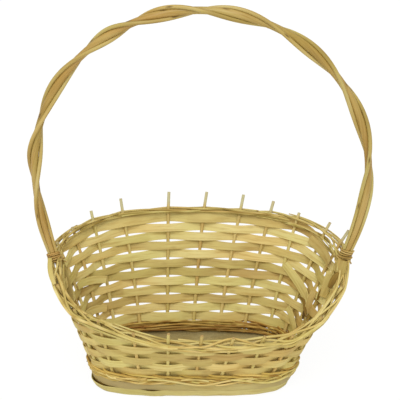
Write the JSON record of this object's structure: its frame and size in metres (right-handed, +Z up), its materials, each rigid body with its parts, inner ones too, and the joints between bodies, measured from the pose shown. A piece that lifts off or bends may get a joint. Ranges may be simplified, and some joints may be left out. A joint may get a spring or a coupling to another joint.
{
  "type": "gift basket",
  "caption": "Oval woven willow gift basket with a lowered front, flaring walls and a tall fixed hoop handle of twisted rods.",
  "frame": {"origin": "on the floor, under the middle of the outer box", "axes": "+Z up; X runs along the basket through both feet of the handle; -Y points to the lowered front"},
  "size_m": [0.378, 0.1986, 0.4494],
  "materials": {
    "willow_strips": "unvarnished split willow strip, satin",
    "stakes": "peeled willow rod, satin",
    "wale_rods": "peeled willow rod, satin",
    "handle_rods": "peeled willow rod with a slight sheen",
    "bindings": "split willow binder, satin",
    "base_board": "raw pressed wood board, matt"
  },
  "bodies": {
    "root": {"base_panel": "base_board", "stake_01": "stakes", "stake_02": "stakes", "stake_03": "stakes", "stake_04": "stakes", "stake_05": "stakes", "stake_06": "stakes", "stake_07": "stakes", "stake_08": "stakes", "stake_09": "stakes", "stake_10": "stakes", "stake_11": "stakes", "stake_12": "stakes", "stake_13": "stakes", "stake_14": "stakes", "stake_15": "stakes", "stake_16": "stakes", "stake_17": "stakes", "stake_18": "stakes", "stake_19": "stakes", "stake_20": "stakes", "stake_21": "stakes", "stake_22": "stakes", "handle_core": "handle_rods", "handle_wrap_rod_a": "handle_rods", "handle_wrap_rod_b": "handle_rods", "handle_binding_left": "bindings", "handle_binding_right": "bindings", "weave_row_01": "willow_strips", "weave_row_02": "willow_strips", "weave_row_03": "willow_strips", "weave_row_04": "willow_strips", "weave_row_05": "willow_strips", "weave_row_06": "willow_strips", "weave_row_07": "willow_strips", "weave_row_08": "willow_strips", "weave_row_09": "willow_strips", "weave_row_10": "willow_strips", "weave_row_11": "willow_strips", "weave_row_12": "willow_strips", "foot_strip_lower": "willow_strips", "foot_strip_upper": "willow_strips", "base_wale_rod_1": "wale_rods", "base_wale_rod_2": "wale_rods", "base_wale_rod_3": "wale_rods", "rim_wale_rod_1": "wale_rods", "rim_wale_rod_2": "wale_rods", "rim_wale_rod_3": "wale_rods"}
  },
  "joints": []
}
